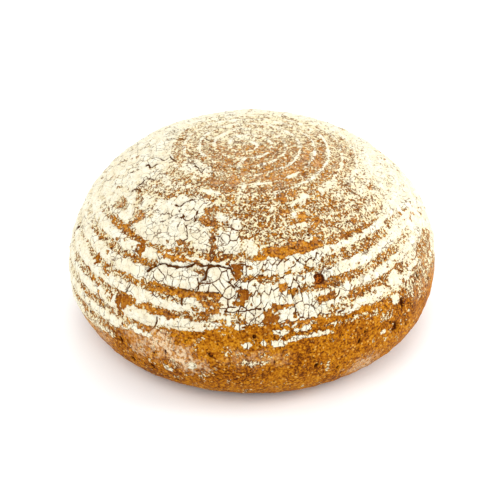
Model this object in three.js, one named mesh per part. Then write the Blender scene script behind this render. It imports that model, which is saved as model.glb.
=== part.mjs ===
// A round rye loaf that was proofed in a basket of coiled cane: a domed boule, widest low down,
// tucked in below that to a flat base. The cane has left one spiral of low ridges in the crust.
// Millimetres, +Z up, the front towards -Y, the origin under the middle of the loaf.
import * as THREE from "three";

// Driving sizes of the loaf
const LOAF_RADIUS = 120;
const LOAF_HEIGHT = 123.5;
const WIDEST_HEIGHT = 40;
const BASE_RADIUS = 87.6;

// Roundness of the dome above its widest level and of the tucked-in wall below it: 2 is an
// ellipse, and more is squarer
const DOME_OUTWARD = 2.64;
const DOME_UPWARD = 1.94;
const WALL_OUTWARD = 1.84;
const WALL_UPWARD = 2.06;

// How far the coil's centre lies left of the loaf's middle, and the slow waves of its plan
const COIL_OFFSET = 4;
const OVAL_WAVE = { count: 2, height: 0.42, turn: -0.66 };
const THREE_WAVE = { count: 3, height: 0.1, turn: 0.96 };

// The cane's coil, by the distance that it runs from its centre over the crust. A groove crosses
// the front at MAIN_GROOVE, and the turns are wider apart outside it, where the dough has spread.
const MAIN_GROOVE = 97.5;
const INNER_PITCH = 9.35;
const OUTER_PITCH = 12.6;
const COIL_LEAN = 3.4;
const LEAN_REACH = 100;

// Height of the ridges over the grooves, on the top and on the side, and where they fade out
const TOP_RIDGE = 0.7;
const SIDE_RIDGE = 1.5;
const CENTRE_FADE = [3, 16];
const SIDE_START = [55, 100];
const BARE_FADE = [148, 174];

// The cracked crust in front has come away along this edge and stands proud below it: places of
// angle in degrees and run, how far it lifts, and the height over which it settles back
const FLAP_EDGE = [
  [-35, 118],
  [-30, 111],
  [-19, 107],
  [-11, 105],
  [-5, 106],
];
const FLAP_LIFT = 1.1;
const FLAP_HEIGHT = 15;
const FLAP_SIDE = 3;
const FLAP_BREAK = 1.2;

// Facets: rows over the crust, and columns round it that double as the rings grow
const ROWS = 84;
const FIRST_COLUMNS = 8;
const DOUBLE_AFTER_ROWS = [1, 4, 10];
const PROFILE_STEPS = 600;

const fade = (from, to, value) => THREE.MathUtils.smoothstep(value, from, to);

// One point of the loaf's half section, from the top's centre at t = 0 to the base's edge at 2
function sectionPoint(t) {
  if (t <= 1) {
    const turn = (t * Math.PI) / 2;
    const radius = LOAF_RADIUS * Math.sin(turn) ** (2 / DOME_OUTWARD);
    const dome = (LOAF_HEIGHT - WIDEST_HEIGHT) * Math.max(Math.cos(turn), 0) ** (2 / DOME_UPWARD);
    return new THREE.Vector2(radius, WIDEST_HEIGHT + dome);
  }
  const turn = ((t - 1) * Math.PI) / 2;
  const overhang = (LOAF_RADIUS - BASE_RADIUS) * Math.max(Math.cos(turn), 0) ** (2 / WALL_OUTWARD);
  const drop = WIDEST_HEIGHT * Math.sin(turn) ** (2 / WALL_UPWARD);
  return new THREE.Vector2(BASE_RADIUS + overhang, WIDEST_HEIGHT - drop);
}

// The half section with the distance run along it at each point
function traceSection() {
  const trace = [{ point: sectionPoint(0), run: 0 }];
  for (let step = 1; step <= 2 * PROFILE_STEPS; step += 1) {
    const point = sectionPoint(step / PROFILE_STEPS);
    const last = trace[step - 1];
    trace.push({ point, run: last.run + point.distanceTo(last.point) });
  }
  return trace;
}

const section = traceSection();
const CRUST_RUN = section[section.length - 1].run;

// Place and outward direction on the half section, a distance from the top's centre
function sectionAt(run) {
  let upper = section.findIndex((entry) => entry.run >= run);
  upper = Math.max(upper, 1);
  const a = section[upper - 1];
  const b = section[upper];
  const share = (run - a.run) / (b.run - a.run);
  const along = b.point.clone().sub(a.point).normalize();
  return {
    point: a.point.clone().lerp(b.point, share),
    outward: new THREE.Vector2(-along.y, along.x),
  };
}

// Share of a full turn that the coil has made, counted from the main groove: whole in a groove
function coilTurns(run, angle) {
  const lean = COIL_LEAN * Math.sin(angle) * fade(0, LEAN_REACH, run);
  const fromGroove = run + lean - MAIN_GROOVE;
  const pitch = fromGroove < 0 ? INNER_PITCH : OUTER_PITCH;
  return fromGroove / pitch + angle / (2 * Math.PI);
}

// How far the crust stands out of the smooth loaf, by the coil's ridges and grooves
function ridgeLift(run, angle) {
  const height = THREE.MathUtils.lerp(TOP_RIDGE, SIDE_RIDGE, fade(...SIDE_START, run));
  const shown = fade(...CENTRE_FADE, run) * (1 - fade(...BARE_FADE, run));
  return -0.5 * height * shown * Math.cos(2 * Math.PI * coilTurns(run, angle));
}

// How far the lifted flap stands out of the crust
function flapLift(run, angle) {
  const degrees = THREE.MathUtils.radToDeg(angle > Math.PI ? angle - 2 * Math.PI : angle);
  const after = FLAP_EDGE.findIndex(([place]) => place >= degrees);
  if (after < 1) {
    return 0;
  }
  const [fromAngle, fromRun] = FLAP_EDGE[after - 1];
  const [toAngle, toRun] = FLAP_EDGE[after];
  const edge = THREE.MathUtils.mapLinear(degrees, fromAngle, toAngle, fromRun, toRun);
  const [left, right] = [FLAP_EDGE[0][0], FLAP_EDGE[FLAP_EDGE.length - 1][0]];
  const across = fade(left, left + FLAP_SIDE, degrees) * (1 - fade(right - FLAP_SIDE, right, degrees));
  const broken = fade(-FLAP_BREAK, FLAP_BREAK, run - edge);
  return FLAP_LIFT * across * broken * (1 - fade(0, FLAP_HEIGHT, run - edge));
}

// How far the plan is out of round, growing from nothing at the top's centre
function planWave(run, angle) {
  const wave = ({ count, height, turn }) => height * Math.cos(count * (angle - turn));
  const shift = COIL_OFFSET * Math.sin(angle);
  return fade(0, LOAF_RADIUS, run) * (shift + wave(OVAL_WAVE) + wave(THREE_WAVE));
}

// A point of the crust: run is the distance from the coil's centre, and angle turns from the
// front towards +X
function crustPoint(run, angle) {
  const { point, outward } = sectionAt(run);
  const lift = ridgeLift(run, angle) + flapLift(run, angle);
  const plan = point.x * (1 + planWave(run, angle) / LOAF_RADIUS) + lift * outward.x;
  const height = Math.max(point.y + lift * outward.y, 0);
  return new THREE.Vector3(plan * Math.sin(angle) - COIL_OFFSET, -plan * Math.cos(angle), height);
}

// Joins two neighbouring rings, the outer with as many points as the inner or twice as many
function joinRings(faces, inner, outer) {
  const double = outer.length === 2 * inner.length;
  inner.forEach((near, column) => {
    const nearNext = inner[(column + 1) % inner.length];
    const at = double ? 2 * column : column;
    const far = outer[at];
    const farNext = outer[(at + 1) % outer.length];
    faces.push(near, far, farNext);
    faces.push(near, farNext, nearNext);
    if (double) {
      faces.push(nearNext, farNext, outer[(at + 2) % outer.length]);
    }
  });
}

// The whole loaf as one closed solid: rings from the top's centre down, then the flat base
function loafGeometry() {
  const places = [];
  const faces = [];
  const add = (place) => places.push(place.x, place.y, place.z) / 3 - 1;

  const top = add(crustPoint(0, 0));
  let columns = FIRST_COLUMNS;
  let ring = [];
  for (let row = 1; row <= ROWS; row += 1) {
    const last = ring;
    const run = (CRUST_RUN * row) / ROWS;
    columns *= DOUBLE_AFTER_ROWS.includes(row - 1) ? 2 : 1;
    const step = (2 * Math.PI) / columns;
    ring = Array.from({ length: columns }, (_, column) => add(crustPoint(run, column * step)));
    if (row === 1) {
      ring.forEach((near, column) => faces.push(top, near, ring[(column + 1) % columns]));
    } else {
      joinRings(faces, last, ring);
    }
  }

  const base = add(new THREE.Vector3(0, 0, 0));
  ring.forEach((near, column) => faces.push(base, ring[(column + 1) % ring.length], near));

  const geometry = new THREE.BufferGeometry();
  geometry.setAttribute("position", new THREE.Float32BufferAttribute(places, 3));
  geometry.setIndex(faces);
  geometry.computeBoundingBox();
  const middle = geometry.boundingBox.getCenter(new THREE.Vector3());
  geometry.translate(-middle.x, -middle.y, -geometry.boundingBox.min.z);
  geometry.computeVertexNormals();
  return geometry;
}

const flouredCrust = new THREE.MeshStandardMaterial({
  color: 0xd9c4a0,
  roughness: 0.92,
  metalness: 0,
});

const loaf = new THREE.Mesh(loafGeometry(), flouredCrust);
loaf.name = "loaf";

const bread = new THREE.Group();
bread.add(loaf);

export default bread;
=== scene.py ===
"""A round rye loaf, proofed in a basket of coiled cane and dusted with flour, on a pale floor."""
import math

import bpy
import numpy as np
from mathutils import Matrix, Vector


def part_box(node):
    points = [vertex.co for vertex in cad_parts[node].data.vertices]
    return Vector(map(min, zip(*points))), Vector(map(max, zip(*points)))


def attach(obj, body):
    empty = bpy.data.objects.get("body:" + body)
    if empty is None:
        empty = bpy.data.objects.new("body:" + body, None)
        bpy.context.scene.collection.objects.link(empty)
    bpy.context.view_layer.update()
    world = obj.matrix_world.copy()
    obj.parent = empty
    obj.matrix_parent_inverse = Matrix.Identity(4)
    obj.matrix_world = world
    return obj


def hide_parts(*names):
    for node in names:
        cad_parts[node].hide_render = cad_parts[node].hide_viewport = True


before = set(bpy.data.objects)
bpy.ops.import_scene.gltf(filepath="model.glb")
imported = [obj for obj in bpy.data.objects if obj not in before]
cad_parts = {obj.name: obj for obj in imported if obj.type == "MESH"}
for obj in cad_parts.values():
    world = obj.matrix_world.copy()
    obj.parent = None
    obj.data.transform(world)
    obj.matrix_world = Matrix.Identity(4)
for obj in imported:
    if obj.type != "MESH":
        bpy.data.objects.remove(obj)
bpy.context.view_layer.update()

# Lengths below are in millimetres, as in the loaf's solid, and angles in degrees unless said.
# A place on the crust is its angle round the loaf, from the front towards +X, and its run, the
# distance over the crust from the coil's centre.
MM = 0.001

# The loaf's form
LOAF_RADIUS = 120.0
LOAF_HEIGHT = 123.5
WIDEST_HEIGHT = 40.0
BASE_RADIUS = 87.6
DOME_OUTWARD = 2.64
DOME_UPWARD = 1.94
WALL_OUTWARD = 1.84
WALL_UPWARD = 2.06
COIL_OFFSET = 4.0

# Slow waves of the plan: how many go round the loaf, their height, and their turn in radians
OVAL_WAVE = (2, 0.42, -0.66)
THREE_WAVE = (3, 0.1, 0.96)

# The coil that the cane has left in the crust
MAIN_GROOVE = 97.5
INNER_PITCH = 9.35
OUTER_PITCH = 12.6
COIL_LEAN = 3.4
LEAN_REACH = 100.0
TOP_RIDGE = 0.7
SIDE_RIDGE = 1.5
CENTRE_FADE = (3.0, 16.0)
SIDE_START = (55.0, 100.0)

# How fine the modelled surface is: rings over the crust, closest together over the cracked band,
# and a ring of the base to every sixth
DOME_RINGS = 288
BASE_STEP = 6
SECTION_STEPS = 1200
FINE_BAND = (78.0, 152.0)
FINE_SHARE = (0.30, 0.79)

# Where the flour ends on the way down: angles, and the run at each
FLOUR_END_ANGLES = (
    -180, -120, -75, -60, -44, -40, -28, -15, -9, -3, 5, 28, 34, 50, 62, 75, 95, 130, 180)
FLOUR_END_RUNS = (
    168, 172, 176, 174, 163, 158, 150, 146, 142, 139, 139, 139, 139, 139, 140, 145, 156, 165, 168)

# How much flour lies at these angles round the loaf, as shares of the crust: in the crown's grooves
# and on its crests, on the shoulder below it, and on the side's ridges and in its grooves. The
# crown's coil shows down to the run in CROWN_END. The last two give the thin dust.
FLOUR_ANGLES = (-180, -135, -100, -75, -60, -45, -30, -15, 0, 15, 30, 45, 60, 75, 100, 135, 180)
CROWN_GROOVES = (.66, .64, .56, .46, .38, .36, .34, .34, .34, .33, .33, .33, .34, .38, .48, .58, .64)
CROWN_END = (54, 54, 50, 50, 50, 50, 50, 50, 50, 52, 54, 56, 60, 68, 70, 62, 54)
CROWN_CRESTS = (.92, .90, .86, .78, .72, .68, .64, .62, .66, .74, .84, .88, .90, .90, .92, .92, .92)
SHOULDER = (.92, .94, .98, .92, .64, .58, .55, .49, .47, .45, .45, .48, .57, .77, .89, .94, .92)
SIDE_RIDGES = (
    1.1, 1.1, 1.12, 1.12, 1.14, 1.14, 1.12, 1.12, 1.12, 1.12, 1.0, .84, .82, .92, 1.04, 1.1, 1.1)
SIDE_GROOVES = (.80, .80, .84, .68, .48, .40, .36, .36, .40, .42, .42, .48, .58, .80, .88, .82, .80)
CROWN_DUST = (.48, .48, .44, .34, .28, .26, .26, .24, .24, .24, .22, .20, .20, .24, .34, .44, .48)
SHOULDER_DUST = (.60, .60, .60, .50, .24, .18, .14, .08, .06, .06, .06, .08, .16, .40, .55, .60, .60)

# Patches where the flour differs: middle angle and run, half width in degrees, half height in mm,
# and the share of the crust that the flour covers there, above 1 where it is thick
FLOUR_PATCHES = (
    # the crown, from the left to the right
    (-78, 16, 12, 3.5, 0.35),
    (-35, 30, 5, 2.8, 0.2),
    (-15, 23, 4, 3.5, 0.2),
    (-8, 22, 2.5, 7, 0.95),
    (1, 25, 4, 2.5, 0.15),
    (-1, 34, 3.5, 2.5, 0.2),
    (-3, 48, 1.6, 8, 0.85),
    (70, 38, 14, 2, 0.1),
    (68, 47, 9, 1.8, 0.12),
    (47, 39.5, 12, 1.8, 0.16),
    (24, 42, 7, 1.8, 0.16),
    # the shoulder's left side
    (-50, 40, 17, 7, 0.76),
    (-12, 43, 4, 9, 0.3),
    (-24, 48, 5, 4, 0.26),
    (-34, 48, 5, 4, 0.42),
    (-23, 55, 6.5, 2.6, 0.92),
    (-25, 61, 6, 2.2, 0.18),
    (-58, 53, 7, 3.6, 0.56),
    (-60, 61, 8, 2, 0.78),
    (-59, 66, 4.5, 2.6, 0.54),
    (-62, 77, 4.2, 4.5, 0.56),
    (-44.5, 75, 3, 9, 0.28),
    (-53, 82, 3.4, 4.5, 0.8),
    (-63.5, 85.5, 4.5, 3.5, 0.96),
    (-65, 93, 2.4, 5, 0.44),
    (-50, 91, 3, 4.5, 0.3),
    (-57.5, 94, 3.2, 5, 0.96),
    (-27, 65, 6.5, 5, 0.86),
    (-44, 79, 4.5, 7, 0.84),
    (-41, 94, 7, 8, 1),
    (-32, 82, 10, 18, 1.14),
    (-24, 82, 3, 12, 1.04),
    (-25.5, 94, 3.4, 2.4, 0.34),
    (-19, 69, 4, 2.2, 0.14),
    (-18.5, 77.3, 4.4, 2.2, 0.1),
    (-12, 73.2, 3, 3.4, 0.9),
    (-18.3, 89, 3.2, 9, 0.93),
    (-13.2, 87, 1.5, 10, 0.2),
    (-6, 78, 2.4, 5, 1.06),
    (-7, 90, 5, 7.3, 1.16),
    (1.6, 92, 2.2, 5, 0.78),
    # the shoulder's right side
    (18.5, 55, 2.4, 2, 0.85),
    (21.5, 59.5, 2, 3.8, 0.04),
    (31, 64, 5, 2.8, 0.86),
    (53, 63.5, 8, 3, 0.8),
    (15, 66, 1.4, 1.7, 0.98),
    (18.5, 71.5, 2, 3, 0.14),
    (22.8, 73, 1.3, 1.7, 1.05),
    (25.8, 76.3, 2, 2, 0),
    (24.5, 80.5, 5.5, 1.3, 0.86),
    (31, 81.5, 2.2, 3.4, 0.12),
    (47.5, 90, 2.4, 2.5, 0.1),
    (72, 81.5, 3.2, 1.4, 0.3),
    # the main groove
    (-53, 102.8, 12, 2.6, 0.18),
    (-25, 105, 9.5, 1.6, 0.04),
    (-10, 100, 5.6, 3.2, 0.2),
    (0.5, 101, 4.2, 2.8, 0.55),
    (5, 99, 2.5, 2.5, 0.2),
    (18, 95.8, 12, 4, 0),
    (44, 97, 14, 2, 0.28),
    # the first ridge outside it
    (-58, 108.5, 13, 3.4, 1.15),
    (-42, 109.5, 5, 2.4, 1.02),
    (-29, 108.6, 9, 1.7, 1.15),
    (-17.5, 106.3, 4, 1, 1.02),
    (5, 106, 6, 3.6, 1.16),
    (13, 104.6, 6, 4.4, 1.16),
    (20.5, 103.4, 6, 4.2, 1.14),
    (61, 100.3, 13, 2.3, 0.94),
    (46, 100, 4, 1.6, 0.8),
    (34.5, 105.2, 4, 1.6, 0.96),
    (42, 106, 16, 3.6, 0.42),
    # the cracked crust in front
    (-24, 116, 10.5, 5.9, 1.16),
    (-9.5, 113.5, 5.4, 7.6, 1.16),
    (-3.2, 114.5, 2.6, 3, 0.96),
    (-5.8, 123, 3, 5.6, 1.12),
    (8, 112.2, 4.4, 2.6, 0.42),
    (15, 112.6, 3.2, 2.2, 0.88),
    (5.8, 121.5, 4.9, 6, 1.16),
    (12.4, 123.6, 2.2, 3.4, 1.08),
    (11.5, 118, 1.7, 2, 0.06),
    (14.8, 120.4, 1, 1.9, 0),
    (17.5, 124.5, 3.4, 1.7, 1),
    (19, 118.5, 3, 2.6, 0.6),
    (25.5, 119.2, 4, 2.2, 0.1),
    (37, 112.8, 9, 2.6, 0.94),
    (52, 112.4, 7, 2.6, 0.82),
    (44, 118.8, 15, 2.2, 0.34),
    # the bands below it
    (-56, 122.5, 20, 2.9, 1.15),
    (-23, 124.9, 8.5, 1.6, 0),
    (-12, 122.8, 4, 1, 0),
    (-22, 129, 8, 1.9, 0.55),
    (-17.5, 127.8, 2.3, 2.2, 0.98),
    (-11, 128.5, 4, 1.5, 0.1),
    (-58, 134, 18, 3.2, 1.15),
    (-28, 133.8, 12, 2.3, 1.14),
    (-34, 138, 2.1, 2.8, 1.1),
    (-10, 133, 2, 2, 0.05),
    (-7, 135.4, 4.2, 2, 0.74),
    (-3, 129.6, 4.4, 1.3, 0.98),
    (4, 128, 3.4, 1, 0.98),
    (11, 128.5, 3.6, 0.9, 0),
    (24.6, 127.2, 4, 1.9, 0),
    (38, 124.2, 10, 2.1, 0.95),
    (55, 123.6, 8, 2.2, 0.84),
    (45, 129.6, 14, 2.6, 0.36),
    (64, 129, 7, 4, 0.66),
    (2.4, 134.7, 2.9, 4.1, 1.14),
    (11.2, 134, 3.1, 3.9, 1.08),
    (22, 131, 7.2, 1.5, 1.05),
    (20.5, 135, 4.6, 2.4, 0.9),
    (30, 135, 4, 2, 0.55),
    (35, 135.6, 2, 1.6, 1.05),
    (43, 135.4, 2.5, 2.4, 1.08),
    (51, 132.8, 2, 4.6, 0.98),
    (80, 114, 9, 15, 1.1),
    (61, 136.5, 5, 2, 0.72),
    (74, 136, 8, 8, 0.46),
    (-28, 139.8, 8, 2, 0.12),
    (-60, 147.3, 15, 2.7, 1.12),
    (16.5, 138.9, 7.6, 1.2, 0),
)

# Patches of flour below its end, by the same rule
FOOT_PATCHES = (
    (-34.7, 147.5, 6.1, 2.9, 1.15),
    (-21.5, 145.3, 5.5, 2.3, 0.85),
    (-12.5, 141.5, 3, 1.8, 0.8),
    (-32.5, 155.8, 3.4, 2.2, 1),
    (-48, 158, 2.4, 3, 1),
    (-66, 160.5, 3.4, 3.2, 0.9),
    (-53, 169.8, 9, 2.5, 0.66),
    (-24, 177, 1.8, 2.4, 0.8),
    (-16, 170.5, 1.8, 2.4, 0.85),
    (-5.8, 156.5, 1.6, 3.4, 0.42),
    (0, 152.2, 1.3, 2.2, 1.06),
    (2.2, 164.2, 4, 2, 0.62),
    (4.8, 150.8, 0.9, 2, 0.9),
    (9, 150.5, 2.6, 1.6, 0.92),
    (9.5, 144.2, 1.9, 1.9, 1.1),
    (14.3, 149.5, 3, 1.6, 0.95),
    (16.2, 143.5, 3, 1.6, 1.02),
    (21, 148.8, 4.2, 1.6, 0.9),
    (26, 144.5, 3, 1.4, 0.6),
    (43.2, 162, 0.9, 1.4, 0.9),
    (49, 145.3, 1.8, 2.6, 0.86),
    (32, 145, 4, 1.6, 0.55),
    (39, 146.5, 4.5, 2.4, 0.42),
    (45, 152, 3, 3, 0.34),
    (57, 147, 2.2, 6, 0.5),
    (63, 152, 2, 8, 0.44),
    (70, 150, 3, 9, 0.4),
)

# Tears that bare the crust: middle angle and run, half width in degrees and half height in mm
TEARS = (
    (-4.2, 106, 2.6, 3.6),
    (-2.8, 110, 1.6, 3.6),
    (-1, 121.2, 2.2, 4.8),
    (-2.2, 125.6, 1.8, 2.6),
    (6.8, 134, 1.7, 7.6),
    (6.5, 142, 1.2, 6),
    (-40.6, 140.4, 2.6, 3.8),
    (-42.2, 145, 1.6, 5),
    (-58, 128.2, 1.2, 3),
    (-40.8, 106.4, 1.6, 4.4),
)

# A thin grey dusting, by the same rule
DUST_PATCHES = (
    (-27, 158, 5, 5, 0.84),
    (-21, 164, 5, 6, 0.84),
    (-16, 170, 3, 4, 0.66),
    (-33, 168, 4, 5, 0.5),
    (-39, 158, 5, 4, 0.4),
    (72, 146, 14, 16, 0.14),
    (-60, 178, 12, 12, 0.3),
    (3, 161, 6, 4, 0.22),
    (-16, 168, 2.2, 3.5, 0.6),
    (38, 186, 5, 8, 0.45),
)

# The flap of cracked crust in front has lifted along this edge, places of angle and run; how far,
# and over how many mm it settles back
FLAP_EDGE = ((-35, 118), (-33, 114), (-30, 111), (-24, 109.4), (-21, 108.6), (-19, 107.6),
             (-17.6, 105.8), (-11, 105.3), (-5, 106.2))
FLAP_LIFT = 1.1
FLAP_HEIGHT = 15.0

# Open cracks in the crust: a line of places, half width in mm at either end, and depth
OPEN_CRACKS = (
    (FLAP_EDGE[:6], 0.66, 0.42, 1.2),
    (FLAP_EDGE[5:], 0.75, 0.62, 1.2),
    (((-12.3, 105.5), (-13.4, 110), (-14.2, 114), (-15.4, 117.5)), 0.75, 0.45, 0.9),
    (((-15.4, 117.5), (-15.6, 120), (-16.5, 123)), 0.55, 0.2, 0.7),
    (((-17.8, 107.5), (-17.4, 112), (-15.6, 117.3)), 0.2, 0.35, 0.6),
    (((-7.5, 112), (-5.6, 115), (-4, 118)), 0.22, 0.4, 0.8),
    (((-34, 127.5), (-26, 124), (-18, 122.4), (-9, 121)), 0.2, 0.5, 1),
    (((-6.5, 131.6), (-1, 130.8), (4.5, 129)), 0.35, 0.45, 0.7),
    (((-40.6, 126.5), (-40, 131), (-40.8, 137.5)), 0.45, 0.25, 0.8),
    (((-20.2, 124), (-20.6, 128), (-20.2, 132)), 0.6, 0.25, 0.7),
    (((-28.2, 143), (-27.8, 146), (-28.4, 151)), 0.35, 0.55, 0.7),
    (((-57.4, 119), (-57.5, 124), (-58, 138)), 0.16, 0.2, 0.7),
    (((14.4, 119), (14.8, 124), (14.2, 135)), 0.4, 0.25, 0.7),
    (((17.2, 100), (18, 104), (21.5, 107), (23.5, 109.5)), 0.2, 0.3, 0.6),
    (((38.2, 118.5), (38.8, 124.5)), 0.3, 0.2, 0.6),
    (((20, 131), (22, 134), (22.6, 137)), 0.3, 0.3, 0.6),
    (((-82.5, 78.5), (-82, 74), (-80.8, 69.5), (-83.2, 65.5), (-79, 64.8), (-77.2, 59.2)),
     0.55, 0.75, 1),
    (((-88.2, 62.8), (-86.2, 58.5), (-80.2, 53.2), (-81.5, 49.8), (-72.8, 47)), 0.5, 0.65, 1),
    (((-66.8, 76.2), (-68.2, 73.2), (-68, 70), (-64, 66)), 0.45, 0.6, 0.9),
    (((-68, 82.8), (-65.8, 78.5), (-61.5, 77)), 0.45, 0.55, 0.9),
    (((-64.8, 38.8), (-52, 39.2), (-43.2, 41.5), (-44.5, 32.5), (-36, 33.2)), 0.4, 0.55, 0.8),
    (((-40, 71.8), (-35.5, 72.8), (-34.5, 69.8), (-32, 66), (-30.2, 64.5)), 0.3, 0.4, 0.8),
    (((-29.8, 87), (-30.8, 80), (-29.2, 78.5), (-34, 75.2)), 0.24, 0.32, 0.6),
    (((-39.2, 88.2), (-37.5, 85), (-36.2, 81.2)), 0.24, 0.32, 0.6),
    (((-110, 57), (-110, 49), (-110, 41)), 0.45, 0.6, 0.9),
    (((-118, 34), (-112, 28), (-104, 21)), 0.4, 0.5, 0.8),
    (((-126, 62), (-121, 55), (-124, 46)), 0.4, 0.5, 0.8),
    (((-142, 51), (-133, 50), (-127, 53)), 0.35, 0.45, 0.8),
    (((-168, 47), (-158, 48), (-152, 45)), 0.35, 0.45, 0.8),
    (((158, 52), (166, 51), (173, 54)), 0.35, 0.45, 0.8),
    (((132, 58), (138, 54), (146, 55)), 0.35, 0.45, 0.8),
    (((-150, 66), (-143, 64), (-139, 69)), 0.4, 0.5, 0.8),
    (((-26, 96), (-24, 90), (-27, 84), (-24, 78), (-26, 72)), 0.24, 0.3, 0.6),
    (((-68, 72), (-66.5, 78), (-65, 88), (-64.5, 97)), 0.15, 0.3, 0.7),
    (((-5.6, 103.2), (-4.6, 107.5), (-3, 112)), 0.55, 0.35, 0.6),
    (((-3, 112), (-4.2, 115.5), (-2.4, 118)), 0.2, 0.35, 0.6),
    (((-2.3, 117.5), (-2.4, 122), (-3, 127)), 0.5, 0.3, 0.6),
    (((5.3, 128.5), (5.5, 134), (5.2, 139)), 0.45, 0.25, 0.6),
    (((-43.4, 139.5), (-42.6, 144), (-41.8, 151)), 0.45, 0.35, 0.7),
    (((-1.2, 104), (-1.4, 111)), 0.3, 0.2, 0.5),
)

# Holes: place, half width round the loaf and half height in mm, and depth
HOLES = (
    (24, 115.8, 3.6, 4, 1.9),
    (48.2, 164.5, 2.8, 4.6, 3),
    (51.8, 150.8, 1.6, 3.8, 2.6),
    (62.5, 143.5, 1.2, 2.6, 2),
    (34.2, 162.5, 1.3, 2.2, 2.4),
    (36.2, 157, 0.8, 1.3, 1.6),
    (46, 158.5, 0.9, 1.4, 1.6),
    (20.3, 171, 1.5, 2, 2.4),
    (27.5, 177, 1, 1.4, 1.6),
    (2.2, 146.5, 1.3, 1.4, 2.2),
    (-10.5, 160.5, 1.6, 1.8, 2.2),
    (-24.5, 164.5, 1, 2, 1.8),
    (-41.5, 170, 2, 2.4, 2.2),
    (-38, 183, 2.4, 2.6, 2.2),
    (-30, 181, 2, 2.6, 2),
    (53.5, 168, 1.2, 2, 1.8),
    (70.5, 155, 1.6, 1.8, 1.6),
    (-83, 134, 2.6, 3, 2.6),
    (139, 131, 1.8, 3, 2.6),
    (-151, 150, 2, 2.6, 2.6),
    (104, 160, 1.6, 3.2, 2.4),
    (-118, 163, 1.4, 2.4, 2.2),
)

# How many mm of the crust a degree is taken as, where the plates are laid out in front
FRONT_SCALE = 2.0

# Sizes of the lumps in the random fields that shape the flour: its flakes, clumps and frayed
# edges, its patches' swaying and drifting borders, the areas with loose flakes, its ragged end,
# and the specks below that
FLAKE = 2.6
CLUMP = 6.0
FRAY = 3.0
SWAY = 4.6
DRIFT = 12.0
LOOSE_AREA = 15.0
END_FRAY = 9.0
SPECK = 5.0

# Sizes of the lumps in the fields that bend the plates and the cracks, fray the cracks, widen and
# close the plates' gaps, and change the crust's tone
WOBBLE = 3.4
BEND = 6.5
CRACK_FRAY = 2.4
GAP_AREA = 12.0
TONE = 16.0

# The crust's unevenness: size of the lumps, their height, and how many sizes are added together
LUMPS = ((38.0, 1.6, 2), (7.0, 1.5, 3))

# The same of the base
BASE_LUMPS = (9.0, 0.35, 3)

# How high the flour's plates stand over their gaps, and how deep gaps, pores and tears lie
PLATE_HEIGHT = 0.50
GAP_DEPTH = 0.15
PORE_DEPTH = 0.45
TEAR_DEPTH = 0.6

# Cells of the plates in front, left and right of the middle, of the plates elsewhere, and of the
# pores in the bare crust
BROAD_PLATES = (6.2, 7.2, 50.0)
TALL_PLATES = (4.2, 8.6, 50.0)
LOOSE_PLATES = (8.0, 8.0, 8.5)
PORES = (3.4, 3.4, 4.6)

# Half widths of the gaps between those plates, and between the plates on the left shoulder; below 0
# the gaps show only where the random field widens them
BROAD_GAP = 0.25
TALL_GAP = 0.28
LOOSE_GAP = -0.30
SHOULDER_GAP = 0.13

# Seeds of the random fields, one each
WARP_SEED, PATCH_SEED, LUMP_SEED, PORE_SEED, PLATE_SEED, BACK_SEED, TONE_SEED = range(11, 18)


def fade(start, end, value):
    """A smooth step: nothing before start and 1 after end."""
    share = np.clip((value - start) / (end - start), 0.0, 1.0)
    return share * share * (3.0 - 2.0 * share)


def window(value, low, high, soft):
    """1 between low and high, fading over soft on either side."""
    return fade(low - soft, low + soft, value) * (1.0 - fade(high - soft, high + soft, value))


def mix(first, second, share):
    return first + (second - first) * share


# Random fields in space

def lattice_draw(cells, seed):
    """A repeatable draw from 0 to 1 for each whole-numbered cell."""
    x, y, z = (cells[..., axis].astype(np.int64).astype(np.uint32) for axis in range(3))
    drawn = x * np.uint32(374761393) + y * np.uint32(668265263) + z * np.uint32(2246822519)
    drawn = drawn + np.uint32(seed * 3266489917 % 2**32)
    drawn = (drawn ^ (drawn >> np.uint32(13))) * np.uint32(1274126177)
    drawn = (drawn ^ (drawn >> np.uint32(16))) * np.uint32(2654435761)
    drawn = drawn ^ (drawn >> np.uint32(15))
    return drawn.astype(np.float64) / 2.0**32


def soft_noise(places, size, seed):
    """Smooth noise from 0 to 1 with lumps of about this size."""
    scaled = places / size
    cell = np.floor(scaled)
    part = scaled - cell
    part = part * part * (3.0 - 2.0 * part)
    total = np.zeros(places.shape[:-1])
    for corner in np.ndindex(2, 2, 2):
        weight = np.ones(places.shape[:-1])
        for axis in range(3):
            weight = weight * (part[..., axis] if corner[axis] else 1.0 - part[..., axis])
        total += weight * lattice_draw(cell + np.array(corner), seed)
    return total


def rough_noise(places, size, seed, octaves=3):
    """Several sizes of soft noise added together, from 0 to 1."""
    total, weight, reach = 0.0, 1.0, 0.0
    for octave in range(octaves):
        total = total + weight * soft_noise(places, size / 2.0**octave, seed + 101 * octave)
        reach += weight
        weight *= 0.55
    return total / reach


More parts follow.
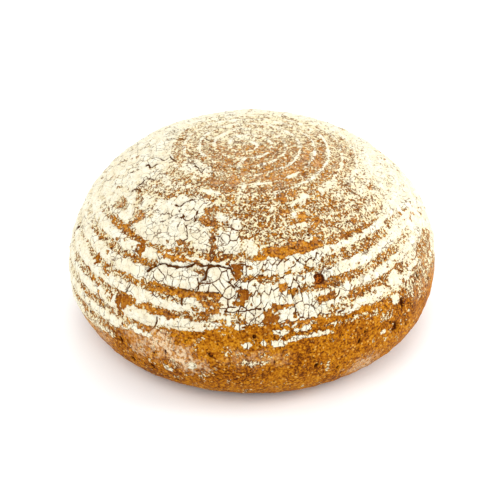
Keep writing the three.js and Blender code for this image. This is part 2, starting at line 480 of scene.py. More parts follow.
def cell_edges(places, size, seed, flat=False):
    """Distance to the nearest border between random cells, a draw for the cell, and its middle."""
    scaled = places / np.asarray(size)
    layers = 1 if flat else 3
    home = np.floor(scaled)
    near = np.full(places.shape[:-1], np.inf)
    second = near.copy()
    near_at = np.zeros(places.shape)
    second_at = near_at.copy()
    draw = np.zeros(places.shape[:-1])
    for offset in np.ndindex(3, 3, layers):
        cell = home + np.array(offset) - np.array((1.0, 1.0, layers // 2))
        jitter = np.stack([lattice_draw(cell, seed + 7 * axis) for axis in range(3)], axis=-1)
        point = cell + 0.1 + 0.8 * jitter
        if flat:
            point[..., 2] = scaled[..., 2]
        distance = ((point - scaled) ** 2).sum(axis=-1)
        closer = distance < near
        between = ~closer & (distance < second)
        second = np.where(closer, near, np.where(between, distance, second))
        second_at[closer] = near_at[closer]
        second_at[between] = point[between]
        near = np.where(closer, distance, near)
        near_at[closer] = point[closer]
        draw[closer] = jitter[closer, 0]
    gap = np.sqrt(((second_at - near_at) ** 2).sum(axis=-1)) + 1e-6
    return (second - near) / (2.0 * gap) * np.mean(size[:2]), draw, near_at * np.asarray(size)


# The loaf's form, as in its solid

def trace_section():
    """The half section from the top's centre to the base's edge: radius, height and run."""
    turn = np.linspace(0.0, math.pi / 2, SECTION_STEPS + 1)
    rise, fall = np.sin(turn), np.cos(turn).clip(0.0)
    dome_height = LOAF_HEIGHT - WIDEST_HEIGHT
    overhang = LOAF_RADIUS - BASE_RADIUS
    radius = np.concatenate([
        LOAF_RADIUS * rise ** (2 / DOME_OUTWARD),
        BASE_RADIUS + overhang * fall[1:] ** (2 / WALL_OUTWARD),
    ])
    height = np.concatenate([
        WIDEST_HEIGHT + dome_height * fall ** (2 / DOME_UPWARD),
        WIDEST_HEIGHT * (1 - rise[1:] ** (2 / WALL_UPWARD)),
    ])
    steps = np.hypot(np.diff(radius), np.diff(height))
    return radius, height, np.concatenate([[0.0], np.cumsum(steps)])


SECTION_RADIUS, SECTION_HEIGHT, SECTION_RUN = trace_section()
CRUST_RUN = SECTION_RUN[-1]

# Where the relief fades out above the base
FOOT_FADE = (CRUST_RUN - 16.0, CRUST_RUN - 1.0)


def coil_turns(run, angle):
    """Turns that the coil has made from the main groove: a whole number lies in a groove."""
    lean = COIL_LEAN * np.sin(angle) * fade(0.0, LEAN_REACH, run)
    from_groove = run + lean - MAIN_GROOVE
    pitch = np.where(from_groove < 0.0, INNER_PITCH, OUTER_PITCH)
    return from_groove / pitch + angle / (2.0 * math.pi)


def ridge_share(turns):
    """1 on the coil's ridges and 0 in its grooves."""
    return 0.5 - 0.5 * np.cos(2.0 * math.pi * turns)


def smooth_crust(run, angle):
    """Points of the loaf without any relief."""
    radius = np.interp(run, SECTION_RUN, SECTION_RADIUS)
    height = np.interp(run, SECTION_RUN, SECTION_HEIGHT)
    waves = COIL_OFFSET * np.sin(angle)
    for count, size, turn in (OVAL_WAVE, THREE_WAVE):
        waves = waves + size * np.cos(count * (angle - turn))
    plan = radius * (1.0 + fade(0.0, LOAF_RADIUS, run) * waves / LOAF_RADIUS)
    return np.stack([plan * np.sin(angle) - COIL_OFFSET, -plan * np.cos(angle), height], axis=-1)


def disc_grid(rings):
    """A disc's rings laid out as a square grid: each point's share of the radius and direction."""
    steps = np.arange(-rings, rings + 1) / rings
    across, along = np.meshgrid(steps, steps, indexing="ij")
    share = np.maximum(np.abs(across), np.abs(along))
    safe = np.where(share == 0.0, 1.0, share)
    wide = np.abs(across) >= np.abs(along)
    slant = np.where(wide, along, across) / safe * (math.pi / 4)
    facing = np.where(wide, across, along) < 0.0
    turn = np.where(wide, np.where(facing, math.pi - slant, slant),
                    np.where(facing, slant - math.pi / 2, math.pi / 2 - slant))
    return share, np.cos(turn), np.sin(turn)


# What lies on the crust

def turn_from(middle, degrees):
    """Degrees from a middle angle, the short way round."""
    return (degrees - middle + 180.0) % 360.0 - 180.0


def around(degrees, levels):
    """A table's value at each angle round the loaf."""
    return np.interp(degrees, FLOUR_ANGLES, levels)


def patch_share(degrees, run, patch, round_mm, soft, power=3.0):
    """How far a place belongs to a patch, from 0 to 1, with soft borders."""
    middle, middle_run, half_angle, half_run, _ = patch
    half_wide = half_angle * round_mm
    across = np.abs(turn_from(middle, degrees) * round_mm) / half_wide
    upward = np.abs(run - middle_run) / half_run
    reach = (across**power + upward**power) ** (1.0 / power)
    outside = (reach - 1.0) * np.minimum(half_wide, half_run)
    return 1.0 - fade(-soft, soft, outside)


def line_distance(degrees, run, line, round_mm):
    """Distance over the crust to a line of places in mm, and how far along the line, from 0 to 1."""
    nearest = np.full(run.shape, np.inf)
    place = np.zeros(run.shape)
    steps = len(line) - 1
    for step, ((a0, r0), (a1, r1)) in enumerate(zip(line, line[1:])):
        x, y = (degrees - a0) * round_mm, run - r0
        dx, dy = (a1 - a0) * round_mm, r1 - r0
        share = np.clip((x * dx + y * dy) / (dx * dx + dy * dy), 0.0, 1.0)
        away = np.hypot(x - share * dx, y - share * dy)
        place = np.where(away < nearest, (step + share) / steps, place)
        nearest = np.minimum(nearest, away)
    return nearest, place


def flake_step(run, angle, places, round_mm):
    """How far the middle of a place's flake lies round the loaf, in degrees, and down it, in mm."""
    _, draw, middle = cell_edges(places, (FLAKE,) * 3, PATCH_SEED + 40)
    away = middle - places
    outward = np.interp(run, SECTION_RUN, np.gradient(SECTION_RADIUS, SECTION_RUN))
    upward = np.interp(run, SECTION_RUN, np.gradient(SECTION_HEIGHT, SECTION_RUN))
    sideways = away[..., 0] * np.cos(angle) + away[..., 1] * np.sin(angle)
    out = away[..., 0] * np.sin(angle) - away[..., 1] * np.cos(angle)
    return sideways / round_mm, out * outward + away[..., 2] * upward, draw - 0.5


def banded_flour(run, angle, ragged, right, flake_angle, flake_run):
    """Share of the crust that flour covers by the coil's ridges and grooves alone."""
    degrees = np.degrees(angle)

    # thin white crests on the crown, and an even dusting round it
    ridge = ridge_share(coil_turns(run, angle))
    crest = fade(0.85, 0.99, ridge + 0.50 * ragged)
    crown = mix(around(degrees, CROWN_GROOVES), around(degrees, CROWN_CRESTS), crest)
    shoulder = around(degrees, SHOULDER) + 0.10 * (ridge - 0.5)
    cover = mix(crown, shoulder, fade(-6.0, 8.0, run - around(degrees, CROWN_END)))

    # broad bands on the side, with borders that follow the flakes
    ridge = ridge_share(coil_turns(run + 0.5 * flake_run, angle + np.radians(0.5 * flake_angle)))
    crossing = fade(0.42 - 0.12 * right, 0.58 + 0.12 * right, ridge + 0.40 * ragged)
    band = mix(around(degrees, SIDE_GROOVES), around(degrees, SIDE_RIDGES), crossing)
    outside = run + COIL_LEAN * np.sin(angle) - MAIN_GROOVE
    return mix(cover, band, fade(-1.5, 1.5, outside + 0.6 * flake_run))


def thin_dust(run, degrees, round_mm, ended, sway_angle, sway_run):
    """How much thin grey dust lies on the crust."""
    dust = mix(around(degrees, CROWN_DUST), around(degrees, SHOULDER_DUST), fade(44.0, 62.0, run))
    side_dust = 0.04 + np.where(degrees > 0.0, 0.14, 0.40) * fade(62.0, 84.0, np.abs(degrees))
    dust = mix(dust, side_dust, fade(94.0, 98.0, run)) * (1.0 - ended)
    for patch in DUST_PATCHES:
        belongs = patch_share(degrees + 3 * sway_angle, run + 3 * sway_run, patch, round_mm, 4.0)
        dust = mix(dust, patch[4], belongs)
    return dust


def flour_cover(run, angle, places, round_mm):
    """Share of the crust that flour covers at each place, and the thin dusting."""
    degrees = np.degrees(angle)
    flake_angle, flake_run, flake = flake_step(run, angle, places, round_mm)
    ragged = rough_noise(places, FRAY, PATCH_SEED + 3) - 0.5
    clumps = rough_noise(places, CLUMP, PATCH_SEED) - 0.5

    # below the main groove the flour lies in flakes, but on the right in finer grains
    side = fade(92.0, 98.0, run)
    right = fade(36.0, 48.0, degrees) * (1.0 - fade(110.0, 130.0, degrees))
    flake_angle = flake_angle * (1.0 - 0.7 * right)
    flake_run = flake_run * (1.0 - 0.7 * right)
    grains = mix(0.36, 0.45, side) * clumps + mix(0.26, 0.45, side) * ragged
    grains = grains + mix(0.14, 0.34 - 0.24 * right, side) * flake
    cover = banded_flour(run, angle, ragged, right, flake_angle, flake_run)
    cover = cover + grains * (1.0 - fade(0.96, 1.12, cover))

    # the patches, with swaying borders; the large ones drift as well
    across, down = (rough_noise(places, SWAY, WARP_SEED + k) - 0.5 for k in range(2))
    sway_angle = mix(9.0, 5.2, side) * across / round_mm + 0.6 * flake_angle
    sway_run = mix(8.0, 4.0, side) * down + 0.6 * flake_run
    swayed_angle, swayed_run = degrees + sway_angle, run + sway_run
    drift = 9.0 * (rough_noise(places, DRIFT, WARP_SEED + 5) - 0.5)
    for patch in FLOUR_PATCHES:
        far_angle = drift * (patch[2] * patch[3] > 60.0) / round_mm
        belongs = patch_share(swayed_angle + far_angle, swayed_run, patch, round_mm, 0.4)
        grainy = patch[4] + grains * (0.15 < patch[4] < 1.0)
        cover = mix(cover, grainy, belongs)

    # some flakes have come away from the thick flour
    loosened = fade(0.50, 0.62, rough_noise(places, LOOSE_AREA, PATCH_SEED + 11, 2))
    chipped = fade(-0.34, -0.40, flake) * loosened * (run > 40.0)
    cover = cover - 0.8 * chipped * fade(0.8, 1.0, cover)

    # the flour's end, ragged in front and fading out at the sides, with a few specks below it
    end = np.interp(degrees, FLOUR_END_ANGLES, FLOUR_END_RUNS)
    end = end + 10.0 * (rough_noise(places, END_FRAY, PATCH_SEED + 1) - 0.5) + flake_run
    specks = -0.04 + 0.42 * fade(0.60, 0.74, rough_noise(places, SPECK, PATCH_SEED + 2))
    fuzzy = 1.0 + 8.0 * np.where(degrees > 0.0, fade(34.0, 58.0, degrees), fade(50.0, 66.0, -degrees))
    ended = fade(end - 1.5 * fuzzy, end + 2.5 * fuzzy, run)
    cover = mix(cover, specks, ended) + 2.4 * grains * ended * (1.0 - ended)
    for patch in FOOT_PATCHES:
        belongs = patch_share(swayed_angle, swayed_run, patch, round_mm, 0.5)
        cover = mix(cover, patch[4] + 0.8 * grains, belongs)

    # the tears, with the most ragged borders
    for tear in TEARS:
        torn_at = (degrees + 2.2 * sway_angle, run + 2.2 * sway_run)
        belongs = patch_share(*torn_at, (*tear, 0.0), round_mm, 0.3, power=1.6)
        cover = mix(cover, -0.20 + 0.9 * grains, belongs)
    return cover, thin_dust(run, degrees, round_mm, ended, sway_angle, sway_run)


def plate_gap(run, degrees, places, wobble):
    """Distance to the cracks between the flour's plates in mm, below 0 in a crack."""
    flat = np.stack([FRONT_SCALE * degrees, run, np.zeros(run.shape)], axis=-1)
    flat[..., :2] += 2.2 * (wobble[..., :2] - 0.5)
    broad = cell_edges(flat, BROAD_PLATES, PLATE_SEED, flat=True)[0]
    tall = cell_edges(flat, TALL_PLATES, PLATE_SEED + 3, flat=True)[0]
    loose = cell_edges(places + 4.2 * (wobble - 0.5), LOOSE_PLATES, BACK_SEED)[0]
    split = rough_noise(places, GAP_AREA, BACK_SEED + 5, 2) - 0.5

    # the left shoulder's plates are the broad ones too, but smaller
    below_groove = fade(98.0, 101.0, run)
    left_front = window(degrees, -36.0, -3.0, 1.0) * window(run, 104.0, 132.0, 2.0)
    right_front = window(degrees, -3.0, 30.0, 1.0) * below_groove
    left_patch = window(degrees, -43.0, -1.0, 2.0) * (1.0 - below_groove) * fade(58.0, 64.0, run)
    edge = np.where(left_front > 0.5, broad, np.where(right_front > 0.5, tall, loose))
    edge = np.where(left_patch > 0.5, broad * 0.8, edge)
    width = mix(LOOSE_GAP, BROAD_GAP, left_front)
    width = mix(width, TALL_GAP, right_front)
    width = mix(width, SHOULDER_GAP, left_patch)
    return edge - width - 0.55 * split


def long_cracks(degrees, run, round_mm, ragged):
    """Distance to the nearest open crack in mm, below 0 inside it, and how deep the cracks are."""
    nearest = np.full(run.shape, np.inf)
    depth = np.zeros(run.shape)
    for line, first_half, last_half, full_depth in OPEN_CRACKS:
        away, place = line_distance(degrees, run, line, round_mm)
        half = mix(first_half, last_half, place)
        away = away + (0.7 + 0.5 * half) * ragged - half
        nearest = np.minimum(nearest, away)
        depth = np.maximum(depth, full_depth * (1.0 - fade(-0.4, 0.5, away)))
    return nearest, depth


def open_holes(degrees, run, round_mm, ragged):
    """How far a place lies inside a hole, from 0 to 1, and how deep the holes are."""
    inside = np.zeros(run.shape)
    depth = np.zeros(run.shape)
    for middle, middle_run, half_wide, half_tall, full_depth in HOLES:
        across = turn_from(middle, degrees) * round_mm / half_wide
        reach = np.hypot(across, (run - middle_run) / half_tall)
        share = 1.0 - fade(0.50, 1.20, reach + 0.8 * ragged)
        inside = np.maximum(inside, share)
        depth = np.maximum(depth, full_depth * share)
    return inside, depth


def crust_fields(run, angle, places):
    """Everything that differs from place to place: relief in mm, and the finish's fields."""
    turns = coil_turns(run, angle)
    degrees = np.degrees(angle)
    round_mm = np.maximum(np.interp(run, SECTION_RUN, SECTION_RADIUS), 1.0) * math.pi / 180.0
    cover, dust = flour_cover(run, angle, places, round_mm)
    thick = fade(0.60, 1.00, cover)

    # the flour's skin splits into plates, smallest in front, where the crust stretched most
    wobble = np.stack([rough_noise(places, WOBBLE, PLATE_SEED + 20 + k) for k in range(3)], -1)
    gap = plate_gap(run, degrees, places, wobble)

    # the long cracks, which stray from their lines, and the holes
    bends = [rough_noise(places, BEND, PLATE_SEED + 60 + k, 2) - 0.5 for k in range(2)]
    stray_angle = (2.6 * (wobble[..., 0] - 0.5) + 2.6 * bends[0]) / round_mm
    stray_run = 2.6 * (wobble[..., 1] - 0.5) + 2.6 * bends[1]
    ragged = rough_noise(places, CRACK_FRAY, PLATE_SEED + 40, 2) - 0.5
    crack, crack_depth = long_cracks(degrees + stray_angle, run + stray_run, round_mm, ragged)
    gap = np.minimum(gap, crack)
    hole, hole_depth = open_holes(degrees, run, round_mm, ragged)

    # small pores in the bare crust
    strayed = places + 4.2 * (wobble - 0.5)
    pore_edge, pore_draw, _ = cell_edges(strayed, PORES, PORE_SEED)
    pore = fade(0.9, 1.6, pore_edge) * (pore_draw > 0.55) * (1.0 - thick)

    # the coil, the unevenness, the plates and the lifted flap
    ridge_height = mix(TOP_RIDGE, SIDE_RIDGE, fade(*SIDE_START, run))
    end = np.interp(degrees, FLOUR_END_ANGLES, FLOUR_END_RUNS)
    shown = fade(*CENTRE_FADE, run) * (1.0 - fade(end - 6.0, end + 10.0, run))
    relief = -0.5 * ridge_height * shown * np.cos(2.0 * math.pi * turns)
    for seed, (size, height, octaves) in enumerate(LUMPS, LUMP_SEED):
        relief = relief + height * (rough_noise(places, size, seed, octaves) - 0.5)
    relief = relief + thick * (PLATE_HEIGHT * fade(-0.05, 0.75, gap) - GAP_DEPTH)
    relief = relief - crack_depth - hole_depth - PORE_DEPTH * pore
    relief = relief - TEAR_DEPTH * fade(0.0, -0.15, cover)
    flap_angles, flap_runs = zip(*FLAP_EDGE)
    below_edge = run - np.interp(degrees, flap_angles, flap_runs)
    flap = window(degrees, -33.0, -4.0, 1.5) * fade(-0.6, 0.6, below_edge)
    relief = relief + FLAP_LIFT * flap * (1.0 - fade(0.0, FLAP_HEIGHT, below_edge))
    relief = relief * (1.0 - fade(*FOOT_FADE, run))

    # the crust's tone, which varies at random, with painted shade: a little darker on the shoulder
    # against the stronger light there, and darkest at the base's edge as contact shade along with a
    # darker bake
    tone_and_shade = rough_noise(places, TONE, TONE_SEED) - 0.5
    tone_and_shade = tone_and_shade - 0.08 * window(run, 50.0, 92.0, 5.0) - 0.9 * fade(-13.0, -1.0, run - CRUST_RUN)

    fields = {
        "cover": cover,
        "gap": np.clip(gap, -2.0, 3.0),
        "hole": np.maximum(hole, 0.55 * pore),
        "dust": dust,
        "tone_and_shade": tone_and_shade,
    }
    return relief, fields


def add_object(name, data):
    """A new object in the scene."""
    added = bpy.data.objects.new(name, data)
    bpy.context.scene.collection.objects.link(added)
    return added


# The loaf's mesh

def grid_faces(side, first=0, flipped=False):
    """Quads of a square grid of points."""
    index = np.arange(side * side).reshape(side, side) + first
    corners = [index[:-1, :-1], index[1:, :-1], index[1:, 1:], index[:-1, 1:]]
    if flipped:
        corners.reverse()
    return np.stack(corners, axis=-1).reshape(-1, 4)


def grid_border(side, first=0):
    """Indices round a square grid's border, counterclockwise from its first corner."""
    index = np.arange(side * side).reshape(side, side) + first
    return np.concatenate([index[:-1, 0], index[-1, :-1], index[:0:-1, -1], index[0, :0:-1]])


def surface_normals(points):
    """Outward directions of a grid of points."""
    across = np.gradient(points, axis=0)
    along = np.gradient(points, axis=1)
    normal = np.cross(across, along)
    return normal / np.maximum(np.linalg.norm(normal, axis=-1, keepdims=True), 1e-9)


def base_points(edge, share, direction):
    """The flat base inside the crust's lowest ring."""
    cosine, sine = direction
    angle = np.arctan2(cosine, -sine)
    rim = smooth_crust(np.full(share.shape, CRUST_RUN), angle)
    centre = edge.reshape(-1, 3).mean(axis=0)
    points = mix(centre, rim, 0.985 * share[..., None])
    size, height, octaves = BASE_LUMPS
    lumps = rough_noise(points, size, LUMP_SEED + 7, octaves)
    points[..., 2] = height * lumps * (1.0 - share**4)
    return points


def build_loaf():
    """One closed mesh of dome and base, with its fields and its unwrapped layout."""
    share, cosine, sine = disc_grid(DOME_RINGS)
    run = np.interp(share, (0.0, *FINE_SHARE, 1.0), (0.0, *FINE_BAND, CRUST_RUN))
    angle = np.arctan2(cosine, -sine)
    smooth = smooth_crust(run, angle)
    relief, fields = crust_fields(run, angle, smooth)
    dome = smooth + surface_normals(smooth) * relief[..., None]
    dome[..., 2] = np.maximum(dome[..., 2], 0.0)

    base_share, base_cosine, base_sine = disc_grid(DOME_RINGS // BASE_STEP)
    border = grid_border(share.shape[0])
    edge = dome.reshape(-1, 3)[border]
    base = base_points(edge, base_share, (base_cosine, base_sine))
    points = np.concatenate([dome.reshape(-1, 3), base.reshape(-1, 3)])

    middle = (points.min(axis=0) + points.max(axis=0)) / 2.0
    low, high = (np.array(corner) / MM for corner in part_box("loaf"))
    points[:, :2] += (low + high)[:2] / 2.0 - middle[:2]

    first_base = dome.shape[0] * dome.shape[1]
    base_border = grid_border(base_share.shape[0], first_base)
    stitches = []
    count = len(base_border)
    for step in range(count):
        near, next_near = int(base_border[step]), int(base_border[(step + 1) % count])
        for part in range(BASE_STEP):
            at = BASE_STEP * step + part
            stitches.append((near, int(border[(at + 1) % len(border)]), int(border[at])))
        stitches.append((near, next_near, int(border[BASE_STEP * (step + 1) % len(border)])))

    dome_faces = grid_faces(dome.shape[0]).tolist()
    base_faces = grid_faces(base.shape[0], first_base, flipped=True).tolist()
    mesh = bpy.data.meshes.new("loaf_crust")
    mesh.from_pydata((points * MM).tolist(), [], dome_faces + base_faces + stitches)
    mesh.polygons.foreach_set("use_smooth", np.ones(len(mesh.polygons), dtype=bool))

    plain_base = {"cover": 0.10, "gap": 3.0, "hole": 0.0, "dust": 0.18, "tone_and_shade": 0.0}
    for name, values in fields.items():
        column = np.full(len(points), plain_base[name])
        column[:first_base] = values.ravel()
        if name == "tone_and_shade":
            column[first_base:] = rough_noise(base.reshape(-1, 3), TONE, TONE_SEED) - 0.5
        attribute = mesh.attributes.new(name, "FLOAT", "POINT")
        attribute.data.foreach_set("value", column.astype(np.float32))

    lay_out(mesh, points, len(dome_faces), run / CRUST_RUN, cosine, sine)
    mesh.update()
    return add_object("loaf_crust", mesh)


def lay_out(mesh, points, dome_face_count, share, cosine, sine):
    """The unwrapped layout: the dome as a disc with the base as a small disc in a corner."""
    dome_radius, base_radius, base_middle = 0.492, 0.078, 0.083
    flat = np.zeros((len(points), 2))
    on_dome = share.size
    flat[:on_dome, 0] = 0.5 + dome_radius * (share * cosine).ravel()
    flat[:on_dome, 1] = 0.5 + dome_radius * (share * sine).ravel()
    on_base = base_middle + base_radius * points[:, :2] / (BASE_RADIUS + COIL_OFFSET)
    corners = np.empty(len(mesh.loops), dtype=np.int32)
    mesh.loops.foreach_get("vertex_index", corners)
    layout = flat[corners]
    dome_corners = 4 * dome_face_count
    layout[dome_corners:] = on_base[corners[dome_corners:]]
    layer = mesh.uv_layers.new(name="OFBake")
    layer.data.foreach_set("uv", layout.astype(np.float32).ravel())


# Finishes

class Finish:
    """A material whose shader nodes are added and linked by plain calls."""

    def __init__(self, name):
        self.material = bpy.data.materials.new(name)
        self.material.use_nodes = True
        self.tree = self.material.node_tree
        self.shader = self.tree.nodes["Principled BSDF"]
        self.coordinates = self.add("TexCoord").outputs["Object"]

    def add(self, kind):
        return self.tree.nodes.new("ShaderNode" + kind)

    def put(self, value, socket):
        """Sets a socket to a number or colour, or links it to a node's output."""
        if isinstance(value, bpy.types.NodeSocket):
            self.tree.links.new(value, socket)
        else:
            socket.default_value = value

    def field(self, name):
        """One of the mesh's own fields."""
        node = self.add("Attribute")
        node.attribute_name = name
        return node.outputs["Fac"]

    def calc(self, operation, first, second=0.0, third=0.0):
        node = self.add("Math")
        node.operation = operation
        for value, socket in zip((first, second, third), node.inputs):
            self.put(value, socket)
        return node.outputs[0]

    def noise(self, size, detail=2.0, roughness=0.5):
        """Noise whose lumps are about this many mm across."""
        node = self.add("TexNoise")
        node.inputs["Scale"].default_value = 1.0 / (size * MM)
        node.inputs["Detail"].default_value = detail
        node.inputs["Roughness"].default_value = roughness
        self.put(self.coordinates, node.inputs["Vector"])
        return node.outputs[0]

    def spots(self, size):
        """Distance from the middle of scattered spots, this many mm apart, and a draw for each."""
        node = self.add("TexVoronoi")
        node.inputs["Scale"].default_value = 1.0 / (size * MM)
        self.put(self.coordinates, node.inputs["Vector"])
        return node.outputs["Distance"], node.outputs["Color"]

    def flecks(self, size, outer, inner):
        """Scattered flecks in about half of the cells of this many mm, soft from outer to inner."""
        distance, draw = self.spots(size)
        return self.calc("MULTIPLY", self.span(distance, outer, inner), self.span(draw, 0.50, 0.58))

    def hairlines(self, size, sway):
        """Distance to the borders of random cells of this many mm, bent by noise, in cell sizes."""
        bend = self.noise(0.8 * size).node
        shift = self.add("VectorMath")
        shift.operation = "MULTIPLY_ADD"
        self.put(bend.outputs["Color"], shift.inputs[0])
        shift.inputs[1].default_value = (sway * size * MM,) * 3
        self.put(self.coordinates, shift.inputs[2])
        cells = self.add("TexVoronoi")
        cells.feature = "DISTANCE_TO_EDGE"
        cells.inputs["Scale"].default_value = 1.0 / (size * MM)
        self.put(shift.outputs["Vector"], cells.inputs["Vector"])
        return cells.outputs["Distance"]

    def span(self, value, low, high, to_low=0.0, to_high=1.0, smooth=True):
        """Maps low to high onto another span, and holds it outside."""
        node = self.add("MapRange")
        node.interpolation_type = "SMOOTHSTEP" if smooth else "LINEAR"
        for number, socket in zip((value, low, high, to_low, to_high), node.inputs):
            self.put(number, socket)
        return node.outputs["Result"]

    def blend(self, share, first, second):
        """Mixes two colours."""
        node = self.add("Mix")
        node.data_type = "RGBA"
        self.put(share, node.inputs["Factor"])
        self.put(first, node.inputs["A"])
        self.put(second, node.inputs["B"])
        return node.outputs["Result"]

    def ramp(self, value, stops):
        """A run of colours."""
        node = self.add("ValToRGB")
        elements = node.color_ramp.elements
        while len(elements) < len(stops):
            elements.new(0.5)
        for element, (place, colour) in zip(elements, stops):
            element.position = place
            element.color = colour
        self.put(value, node.inputs[0])
        return node.outputs["Color"]

    def bump(self, height, depth, strength=1.0, under=None):
        """Small relief, this many mm high."""
        node = self.add("Bump")
        node.inputs["Strength"].default_value = strength
        node.inputs["Distance"].default_value = depth * MM
        self.put(height, node.inputs["Height"])
        if under is not None:
            self.put(under, node.inputs["Normal"])
        return node.outputs["Normal"]


def tint(red, green, blue):
    """A screen colour from 0 to 255 as the shader's own."""
    def linear(level):
        share = level / 255.0
        return share / 12.92 if share <= 0.04045 else ((share + 0.055) / 1.055) ** 2.4
    return (linear(red), linear(green), linear(blue), 1.0)


# Colours of the crust, and then of the flour
CRUST_DARK = tint(84, 38, 2)
CRUST_BROWN = tint(142, 79, 5)
CRUST_GOLD = tint(172, 105, 9)
CRUST_PALE = tint(198, 135, 30)
TEAR_BROWN = tint(128, 66, 6)
# the crust in narrow cracks, darkened with painted shade
SHADED_CRACK_BROWN = tint(84, 45, 12)
HOLE_BROWN = tint(66, 24, 2)
HOLE_INSIDE = tint(168, 88, 16)
BRAN_DARK = tint(70, 30, 2)
# the base's edge: painted contact shade where the loaf meets the floor, along with a darker bake
EDGE_BAKE_AND_SHADE = tint(38, 16, 2)
GRAIN_SHADE = tint(98, 54, 8)
FLECK_PALE = tint(218, 168, 84)
FLOUR_WHITE = tint(229, 226, 207)
FLOUR_WARM = tint(225, 216, 189)
FLOUR_SPECK = tint(196, 168, 122)
FLOUR_THIN = tint(226, 210, 160)
DUST_GREY = tint(221, 194, 156)

# Sizes of the finish's patterns in mm
CRUST_MOTTLE = 3.2
CRUST_GRAIN = 1.4
BRAN_STEP = 2.2
FLECK_STEP = 2.7
DUST_STREAK = 2.2
FLOUR_GRAIN = 1.15
FLOUR_CLOUD = 6.0
FLOUR_DOT = 1.2
HAIR_CELL = 5.2
HAIR_AREA = 11.0


def floured_crust():
    """Baked crust with specks and pores, under flour that lies in grains, skins and plates."""
    finish = Finish("floured_crust")
    noise, calc, span, blend = finish.noise, finish.calc, finish.span, finish.blend
    cover, gap = finish.field("cover"), finish.field("gap")
    dust, tone_and_shade, hole = finish.field("dust"), finish.field("tone_and_shade"), finish.field("hole")

    mottle = noise(CRUST_MOTTLE, 4.0, 0.60)
    fine = noise(CRUST_GRAIN, 3.0, 0.6)
    # the tone field brings its painted shade on the shoulder and at the base's edge into the crust's
    # colour
    shade = calc("MULTIPLY_ADD", tone_and_shade, 0.35, calc("MULTIPLY_ADD", mottle, 0.68, 0.16))
    shade = calc("MULTIPLY_ADD", calc("SUBTRACT", fine, 0.5), 1.30, shade)
    browns = ((0.30, CRUST_DARK), (0.44, CRUST_BROWN), (0.57, CRUST_GOLD), (0.72, CRUST_PALE))
    crust = finish.ramp(shade, browns)
    bran = finish.flecks(BRAN_STEP, 0.36, 0.22)
    crust = blend(calc("MULTIPLY", bran, 0.85), crust, BRAN_DARK)
    fleck = finish.flecks(FLECK_STEP, 0.34, 0.20)
    crust = blend(calc("MULTIPLY", fleck, 0.75), crust, FLECK_PALE)

    # a thin dusting lightens the crust in streaks
    streaks = noise(DUST_STREAK, 3.0, 0.6)
    dusted = calc("MULTIPLY", dust, span(streaks, 0.42, 0.58, 0.20, 1.60))
    crust = blend(dusted, crust, DUST_GREY)

    # grains of flour lie where the cover is more than the grain's own draw
    grain = noise(FLOUR_GRAIN, 2.0, 0.7)
    _, crumb = finish.spots(FLOUR_GRAIN)
    draw = calc("MULTIPLY_ADD", crumb, 0.36, calc("MULTIPLY", grain, 0.64))
    draw = span(draw, 0.28, 0.72, smooth=False)
    above = calc("SUBTRACT", cover, draw)
    floured = span(above, -0.05, 0.05)
    shadow = calc("MULTIPLY", span(above, -0.36, -0.06), span(cover, 0.08, 0.30))
    crust = blend(calc("MULTIPLY", shadow, 0.85), crust, GRAIN_SHADE)

    # cracks split the flour where it is thick, with finer ones between them
    fray = calc("SUBTRACT", fine, 0.5)
    ragged = calc("MULTIPLY_ADD", fray, 0.5, gap)
    cracked = span(ragged, 0.14, -0.08)
    hair = finish.hairlines(HAIR_CELL, 0.8)
    where = span(noise(HAIR_AREA), 0.50, 0.60)
    hair = calc("MULTIPLY", span(hair, 0.048, 0.018), calc("MULTIPLY_ADD", where, 0.6, 0.20))
    crack = calc("MAXIMUM", cracked, hair)
    floured = calc("MULTIPLY", floured, calc("SUBTRACT", 1.0, crack))
    floured = calc("MULTIPLY", floured, span(hole, 0.50, 0.20))

    # the flour is warmer in places, specked, and browner where it is thin
    cloud = span(noise(FLOUR_CLOUD, 3.0, 0.6), 0.35, 0.65)
    flour = blend(cloud, FLOUR_WARM, FLOUR_WHITE)
    speck = span(noise(FLOUR_DOT, 2.0, 0.6), 0.57, 0.68, 0.0, 0.62)
    flour = blend(speck, flour, FLOUR_SPECK)
    flour = blend(span(cover, 0.95, 0.35, 0.0, 0.75), flour, FLOUR_THIN)

    # the crust is darker in tears and holes; narrow cracks get painted shade over the crust that
    # shows in them, and the base's edge gets painted contact shade along with a darker bake
    # painted shade in the narrow cracks, darker than the bare crust that shows there
    crack_shade = calc("MULTIPLY", crack, span(cover, 0.3, 0.8, 0.25, 0.95))
    crust = blend(crack_shade, crust, SHADED_CRACK_BROWN)
    crust = blend(span(cover, 0.0, -0.15, 0.0, 0.6), crust, TEAR_BROWN)
    crust = blend(span(hole, 0.25, 0.60, 0.0, 0.95), crust, HOLE_BROWN)
    inside = calc("MULTIPLY", span(hole, 0.75, 1.00), span(fine, 0.46, 0.60))
    crust = blend(inside, crust, HOLE_INSIDE)
    # painted contact shade where the loaf meets the floor, along with a darker bake at the base's
    # edge
    crust = blend(span(tone_and_shade, -0.70, -1.30), crust, EDGE_BAKE_AND_SHADE)
    colour = blend(floured, crust, flour)
    finish.put(colour, finish.shader.inputs["Base Color"])

    matt = calc("MULTIPLY_ADD", floured, 0.32, span(fine, 0.3, 0.7, 0.52, 0.68))
    finish.put(matt, finish.shader.inputs["Roughness"])
    finish.shader.inputs["Specular IOR Level"].default_value = 0.04

    rough = calc("MULTIPLY_ADD", fine, 0.6, calc("MULTIPLY", grain, 0.6))
    rough = calc("MULTIPLY_ADD", bran, -0.35, rough)
    grainy = finish.bump(rough, 0.55, 0.8)
    raised = finish.bump(floured, 0.35, 0.8, under=grainy)
    finish.put(raised, finish.shader.inputs["Normal"])
    return finish.material


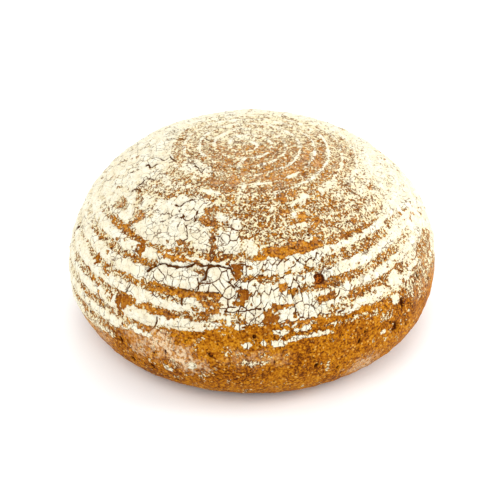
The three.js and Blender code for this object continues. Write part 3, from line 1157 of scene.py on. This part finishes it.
def pale_floor():
    """A matt, almost white floor that is lit a little from within."""
    finish = Finish("pale_floor")
    finish.shader.inputs["Base Color"].default_value = (0.95, 0.965, 0.975, 1.0)
    finish.shader.inputs["Emission Color"].default_value = (1.0, 1.0, 1.0, 1.0)
    finish.shader.inputs["Emission Strength"].default_value = 0.03
    finish.shader.inputs["Roughness"].default_value = 0.9
    finish.shader.inputs["Specular IOR Level"].default_value = 0.1
    return finish.material


# The photograph's view: the camera's angle above the table, how many metres it stands from the
# point that it faces, that point, and the focal length in widths of the picture
VIEW_RISE = 31.86
VIEW_DISTANCE = 1.0
VIEW_AIM = Vector((-0.0013, 0.0, 0.0449))
FOCAL_WIDTHS = 3.024
SENSOR_WIDTH = 36.0


def make_camera():
    """The camera, in front of the loaf and above it."""
    data = bpy.data.cameras.new("camera")
    data.sensor_fit = "HORIZONTAL"
    data.sensor_width = SENSOR_WIDTH
    data.lens = FOCAL_WIDTHS * SENSOR_WIDTH
    camera = add_object("camera", data)
    rise = math.radians(VIEW_RISE)
    back = Vector((0.0, -math.cos(rise), math.sin(rise)))
    camera.location = VIEW_AIM + VIEW_DISTANCE * back
    camera.rotation_euler = back.to_track_quat("Z", "Y").to_euler()
    bpy.context.scene.camera = camera


def make_floor():
    """A pale square under the loaf, wide enough to fill the view."""
    half = 6.0
    mesh = bpy.data.meshes.new("floor")
    corners = [(-half, -half, 0.0), (half, -half, 0.0), (half, half, 0.0), (-half, half, 0.0)]
    mesh.from_pydata(corners, [], [(0, 1, 2, 3)])
    mesh.materials.append(pale_floor())
    floor = add_object("floor", mesh)


# The lamps: name, place in metres, size, power and colour
LAMPS = (
    ("main_light", (-0.30, -0.95, 1.20), 0.9, 6.5, (1.0, 0.99, 0.975)),
    ("back_light", (0.25, 0.95, 1.05), 1.2, 5.0, (1.0, 0.99, 0.975)),
    ("side_light", (1.2, -0.1, 0.6), 0.6, 8.0, (1.0, 0.99, 0.98)),
    ("left_light", (-1.2, 0.2, 0.6), 0.6, 2.5, (1.0, 0.99, 0.98)),
)


def soft_box(name, place, size, power, warmth):
    """A square lamp that faces the loaf."""
    data = bpy.data.lights.new(name, "AREA")
    data.shape = "SQUARE"
    data.size = size
    data.energy = power
    data.color = warmth
    lamp = add_object(name, data)
    lamp.location = place
    towards = Vector((0.0, 0.0, 0.05)) - Vector(place)
    lamp.rotation_euler = towards.to_track_quat("-Z", "Y").to_euler()


def light_studio():
    """A bright white room with its main light high in front, a little to the left."""
    world = bpy.data.worlds.new("studio")
    world.use_nodes = True
    background = world.node_tree.nodes["Background"]
    background.inputs["Color"].default_value = (1.0, 1.0, 1.0, 1.0)
    background.inputs["Strength"].default_value = 1.0
    bpy.context.scene.world = world
    for lamp in LAMPS:
        soft_box(*lamp)


make_camera()
make_floor()
light_studio()
bpy.context.scene.view_settings.view_transform = "Standard"

crust = build_loaf()
crust.data.materials.append(floured_crust())
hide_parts("loaf")
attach(crust, "root")
